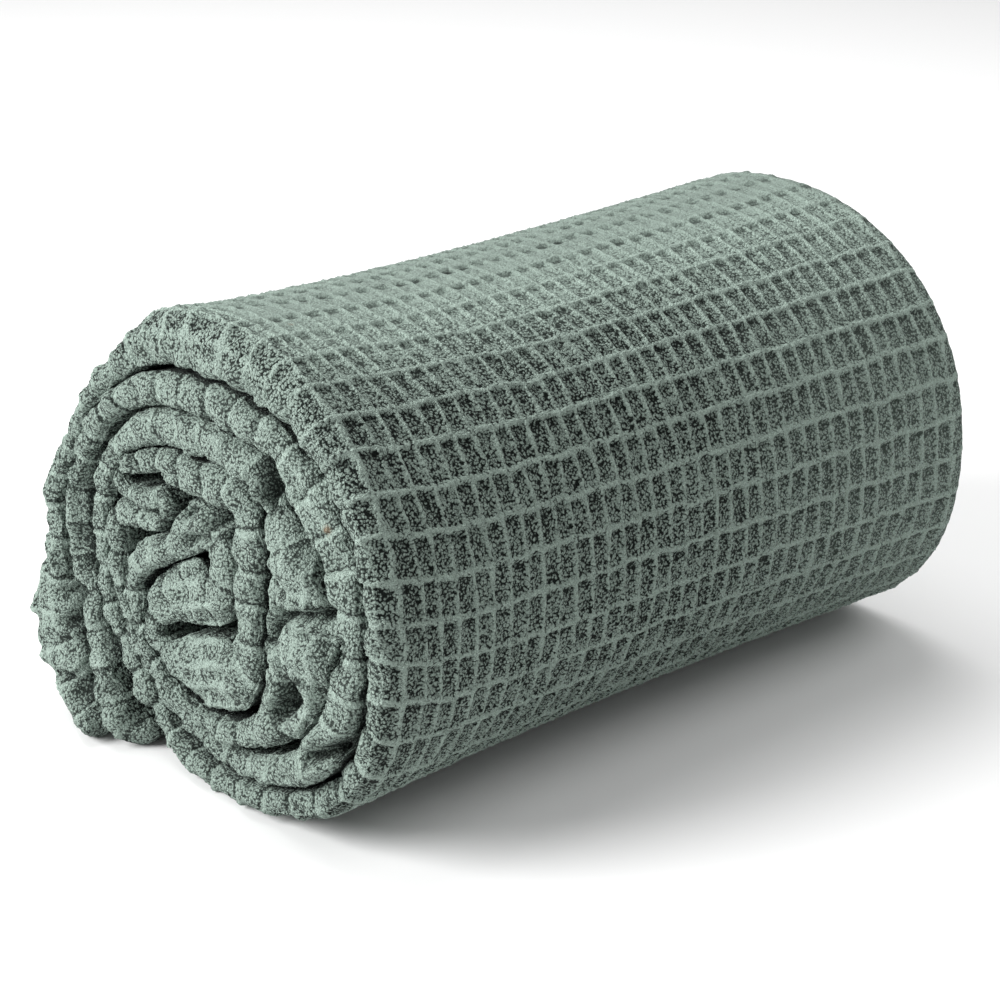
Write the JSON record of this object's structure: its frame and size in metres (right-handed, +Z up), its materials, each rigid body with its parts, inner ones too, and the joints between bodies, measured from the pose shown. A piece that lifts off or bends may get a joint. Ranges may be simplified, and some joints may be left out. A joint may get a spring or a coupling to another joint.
{
  "type": "rolled blanket",
  "caption": "Waffle-weave cotton blanket, folded to a strip and rolled up, lying on its side with a loose flap at the back.",
  "frame": {"origin": "centre of the bounding box's underside, on the surface that the roll lies on", "axes": "+X along the roll's axis, away from the end whose turns show; -Y is the front, and the loose flap hangs at +Y; +Z up"},
  "size_m": [0.4094, 0.2736, 0.2389],
  "materials": {
    "cotton": "matt waffle weave, sage grey-green"
  },
  "bodies": {
    "root": {"rolled_blanket": "cotton"}
  },
  "joints": []
}
